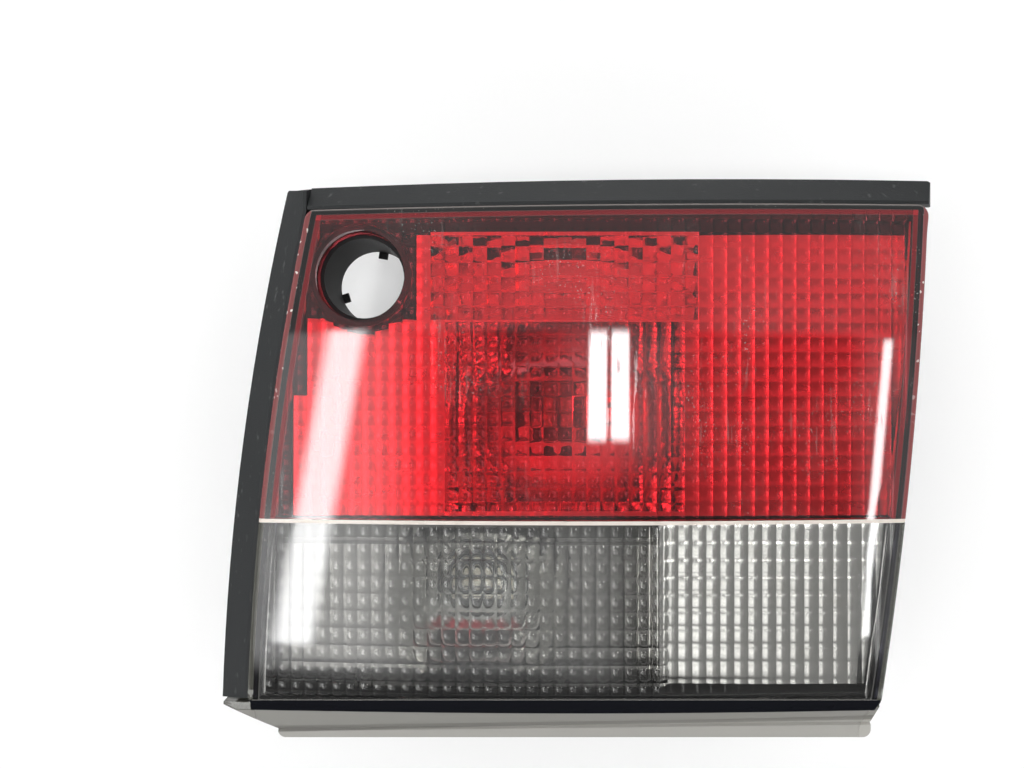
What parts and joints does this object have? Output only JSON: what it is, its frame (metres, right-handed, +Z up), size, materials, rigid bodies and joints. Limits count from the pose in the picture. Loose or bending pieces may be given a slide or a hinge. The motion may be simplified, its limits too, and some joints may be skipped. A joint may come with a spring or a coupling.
{
  "type": "tail light cluster",
  "caption": "Boot-lid tail lamp with a red and clear fluted lens, a lock hole, charcoal trim strips and a black housing with bulbs, held by studs at the back.",
  "frame": {"origin": "centre of the four studs' pattern, on the plane where the stud bosses seat on the boot lid", "axes": "+Y into the boot lid along the studs, so the lens faces -Y; +Z up as fitted; +X to the right for someone facing the lens"},
  "size_m": [0.267, 0.0845, 0.2106],
  "materials": {
    "lens_red": "polished red acrylic, worn smooth",
    "lens_clear": "polished clear acrylic, slightly hazed",
    "lens_divider": "pale moulded bead",
    "sealant": "black sealant",
    "trim": "charcoal grained plastic",
    "housing": "black moulded plastic",
    "reflector": "vacuum metallised plastic",
    "bulb_glass": "clear glass",
    "filament": "tungsten wire",
    "bulb_cap": "nickel-washed brass",
    "holder": "grey heat-resistant plastic",
    "seal": "black rubber",
    "contact": "tinned brass",
    "stud": "zinc-plated steel",
    "gasket": "closed-cell foam"
  },
  "bodies": {
    "root": {"lens_red": "lens_red", "lens_clear": "lens_clear", "lens_divider": "lens_divider", "lens_sealant": "sealant", "side_trim": "trim", "top_trim": "trim", "housing": "housing", "fog_reflector": "reflector", "reverse_reflector": "reflector", "fog_bulb_glass": "bulb_glass", "fog_bulb_cap": "bulb_cap", "fog_bulb_filament": "filament", "fog_bulb_holder": "holder", "fog_holder_seal": "seal", "fog_contacts": "contact", "reverse_bulb_glass": "bulb_glass", "reverse_bulb_cap": "bulb_cap", "reverse_bulb_filament": "filament", "reverse_bulb_holder": "holder", "reverse_holder_seal": "seal", "reverse_contacts": "contact", "mounting_studs": "stud", "mounting_gasket": "gasket", "lock_seal": "seal", "vent_cap": "seal"}
  },
  "joints": []
}
